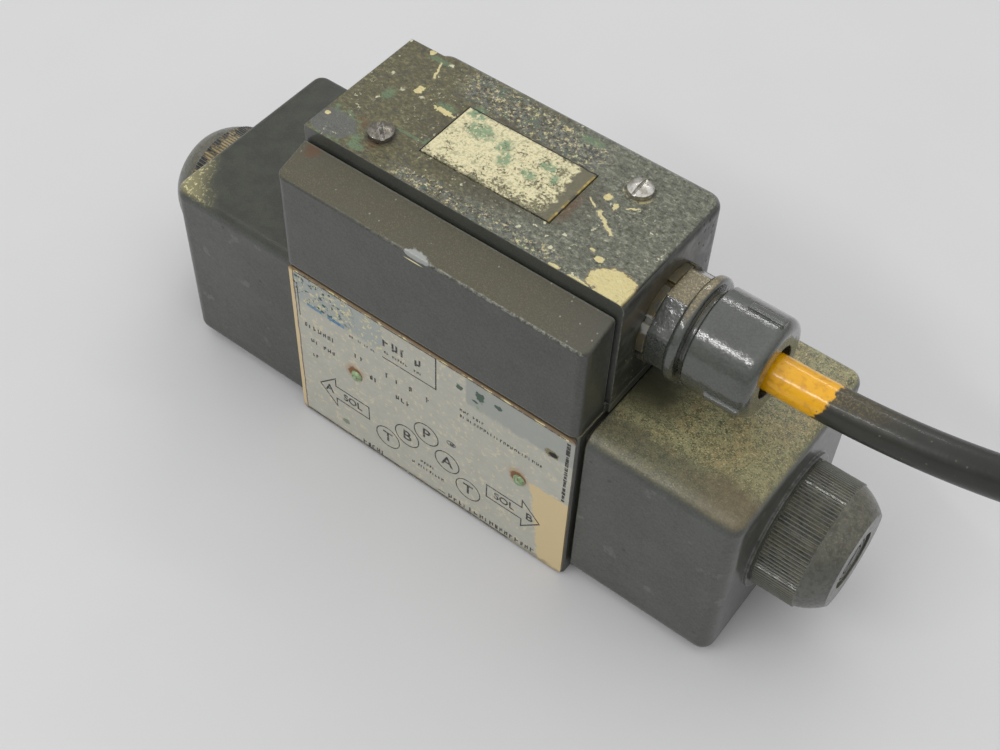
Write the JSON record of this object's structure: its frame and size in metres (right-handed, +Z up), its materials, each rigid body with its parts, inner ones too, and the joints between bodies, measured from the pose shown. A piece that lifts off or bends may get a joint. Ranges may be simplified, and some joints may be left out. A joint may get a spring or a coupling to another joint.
{
  "type": "solenoid directional valve",
  "caption": "Double-solenoid directional control valve with rectangular housings, knurled caps, a wiring box with cable gland, and a five-port base.",
  "frame": {"origin": "centre of the mounting face", "axes": "+X along the spool from solenoid A to solenoid B, +Y from the nameplate to the rear, +Z up"},
  "size_m": [0.2806, 0.0713, 0.1132],
  "materials": {
    "machine_grey_paint": "semi-gloss machine grey, dusty",
    "box_paint": "chipped grey paint over green and cream primer",
    "nameplate_metal": "satin, printed",
    "label_metal": "chipped cream paint",
    "steel": "machined",
    "screw_steel": "worn zinc",
    "pin_brass": "tarnished green",
    "cap_paint": "painted over a fine knurl",
    "gland_paint": "glossy grey over plated metal",
    "cable_yellow": "glossy yellow, grey over-spray",
    "seal_rubber": "black nitrile",
    "gasket_fibre": "compressed fibre",
    "coil_copper": "enamelled copper wire",
    "bobbin_plastic": "brown phenolic",
    "terminal_plastic": "black phenolic",
    "lead_insulation": "red insulation",
    "core_insulation": "black, white and green insulation",
    "spring_steel": "spring wire"
  },
  "bodies": {
    "root": {"valve_body": "machine_grey_paint", "nameplate": "nameplate_metal", "nameplate_pins": "pin_brass", "port_seals": "seal_rubber", "wiring_base": "machine_grey_paint", "wiring_base_gasket": "gasket_fibre", "wiring_base_screws": "screw_steel", "wiring_cover": "box_paint", "wiring_cover_gasket": "gasket_fibre", "wiring_cover_screws": "screw_steel", "label_plate": "label_metal", "terminal_block": "terminal_plastic", "terminal_screws": "screw_steel", "terminal_block_screws": "screw_steel", "gland_body": "gland_paint", "gland_lockring": "gland_paint", "gland_locknut": "steel", "gland_seal": "seal_rubber", "cable_jacket": "cable_yellow", "cable_cores": "core_insulation", "pole_piece_a": "steel", "pole_piece_b": "steel", "pole_seal_a": "seal_rubber", "pole_seal_b": "seal_rubber", "core_tube_a": "steel", "core_tube_b": "steel", "tube_plug_a": "steel", "tube_plug_b": "steel", "override_seal_a": "seal_rubber", "override_seal_b": "seal_rubber", "centring_spring_a": "spring_steel", "centring_spring_b": "spring_steel", "solenoid_housing_a": "machine_grey_paint", "solenoid_housing_b": "machine_grey_paint", "housing_gasket_a": "gasket_fibre", "housing_gasket_b": "gasket_fibre", "flux_washer_a": "steel", "flux_washer_b": "steel", "coil_bobbin_a": "bobbin_plastic", "coil_bobbin_b": "bobbin_plastic", "coil_winding_a": "coil_copper", "coil_winding_b": "coil_copper", "coil_leads_a": "lead_insulation", "coil_leads_b": "lead_insulation"},
    "spool_group": {"spool": "steel", "spring_washer_a": "steel", "spring_washer_b": "steel"},
    "armature_a_group": {"armature_a": "steel", "push_pin_a": "steel"},
    "override_a": {"override_pin_a": "steel"},
    "cap_a_seal": {"cap_seal_a": "seal_rubber"},
    "cap_a": {"retaining_cap_a": "cap_paint"},
    "armature_b_group": {"armature_b": "steel", "push_pin_b": "steel"},
    "override_b": {"override_pin_b": "steel"},
    "cap_b_seal": {"cap_seal_b": "seal_rubber"},
    "cap_b": {"retaining_cap_b": "cap_paint"},
    "gland_nut_washer": {"gland_washer": "steel"},
    "gland_nut_group": {"gland_nut": "gland_paint"}
  },
  "joints": [
    {"name": "spool_slide", "type": "slide", "parent": "root", "child": "spool_group", "axis": [1, 0, 0], "range_m": [-0.0032, 0.0032], "deforming": ["centring_spring_a", "centring_spring_b"]},
    {"name": "armature_a_slide", "type": "slide", "parent": "root", "child": "armature_a_group", "axis": [1, 0, 0], "range_m": [-0.0033, 0.0033]},
    {"name": "armature_b_slide", "type": "slide", "parent": "root", "child": "armature_b_group", "axis": [1, 0, 0], "range_m": [-0.0033, 0.0033]},
    {"name": "override_a_press", "type": "slide", "parent": "root", "child": "override_a", "axis": [1, 0, 0], "range_m": [0, 0.003]},
    {"name": "override_b_press", "type": "slide", "parent": "root", "child": "override_b", "axis": [-1, 0, 0], "range_m": [0, 0.003]},
    {"name": "cap_a_travel", "type": "slide", "parent": "root", "child": "cap_a_seal", "axis": [-1, 0, 0], "range_m": [0, 0.0046]},
    {"name": "cap_a_turn", "type": "hinge", "parent": "cap_a_seal", "child": "cap_a", "pos_m": [-0.1072, 0, 0.033], "axis": [-1, 0, 0], "range_deg": [0, 1080]},
    {"name": "cap_b_travel", "type": "slide", "parent": "root", "child": "cap_b_seal", "axis": [1, 0, 0], "range_m": [0, 0.0046]},
    {"name": "cap_b_turn", "type": "hinge", "parent": "cap_b_seal", "child": "cap_b", "pos_m": [0.1072, 0, 0.033], "axis": [1, 0, 0], "range_deg": [0, 1080]},
    {"name": "gland_nut_travel", "type": "slide", "parent": "root", "child": "gland_nut_washer", "axis": [1, 0, 0], "range_m": [0, 0.0046]},
    {"name": "gland_nut_turn", "type": "hinge", "parent": "gland_nut_washer", "child": "gland_nut_group", "pos_m": [0.073, 0, 0.086], "axis": [1, 0, 0], "range_deg": [0, 1080]}
  ],
  "couplings": [
    {"joint": "armature_a_slide", "follows": "spool_slide", "ratio": 1},
    {"joint": "armature_b_slide", "follows": "spool_slide", "ratio": 1},
    {"joint": "cap_a_travel", "follows": "cap_a_turn", "m_per_rad": 0.00023873},
    {"joint": "cap_b_travel", "follows": "cap_b_turn", "m_per_rad": 0.00023873},
    {"joint": "gland_nut_travel", "follows": "gland_nut_turn", "m_per_rad": 0.00023873}
  ]
}
